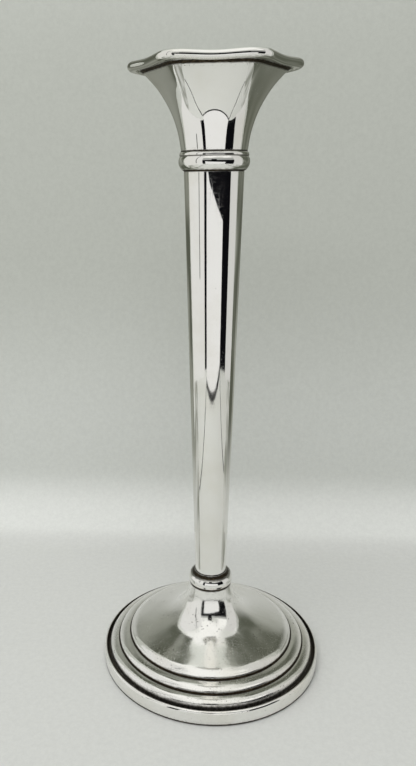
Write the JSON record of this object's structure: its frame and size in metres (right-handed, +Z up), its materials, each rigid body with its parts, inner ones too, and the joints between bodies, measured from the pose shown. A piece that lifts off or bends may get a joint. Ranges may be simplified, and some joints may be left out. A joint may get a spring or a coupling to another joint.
{
  "type": "candlestick",
  "caption": "Tall silver candlestick with a stepped round loaded foot, slim tapered stem, bead collars, six-sided flared mouth and a lift-out candle nozzle.",
  "frame": {"origin": "centre of the underside, on the surface the candlestick stands on", "axes": "+Z up along the stem's axis, -Y towards a flat side of the six-sided mouth, +X towards a corner of it"},
  "size_m": [0.096, 0.096, 0.25],
  "materials": {
    "polished_silver": "polished silver, fine scratches, dark tarnish in the creases",
    "nozzle_silver": "polished silver with wear and light tarnish",
    "baize": "green wool baize",
    "board_wood": "turned beech, unfinished",
    "steel_fittings": "plain mild steel",
    "brass_plugs": "turned brass",
    "plaster_filling": "cast plaster cement"
  },
  "bodies": {
    "candlestick": {"baize_pad": "baize", "base_board": "board_wood", "rod_nut": "steel_fittings", "rod_washer": "steel_fittings", "tie_rod": "steel_fittings", "foot_filling": "plaster_filling", "foot_shell": "polished_silver", "foot_band": "polished_silver", "neck_plug": "brass_plugs", "lower_collar": "polished_silver", "stem_tube": "polished_silver", "stem_filling": "plaster_filling", "stem_top_plug": "brass_plugs", "upper_collar": "polished_silver", "sconce_shell": "polished_silver", "sconce_rim_wire": "polished_silver"},
    "nozzle": {"nozzle_cup": "nozzle_silver", "nozzle_floor": "nozzle_silver", "nozzle_rim_bead": "nozzle_silver"}
  },
  "joints": [
    {"name": "nozzle_lift", "type": "slide", "parent": "candlestick", "child": "nozzle", "axis": [0, 0, 1], "range_m": [0, 0.036]}
  ]
}
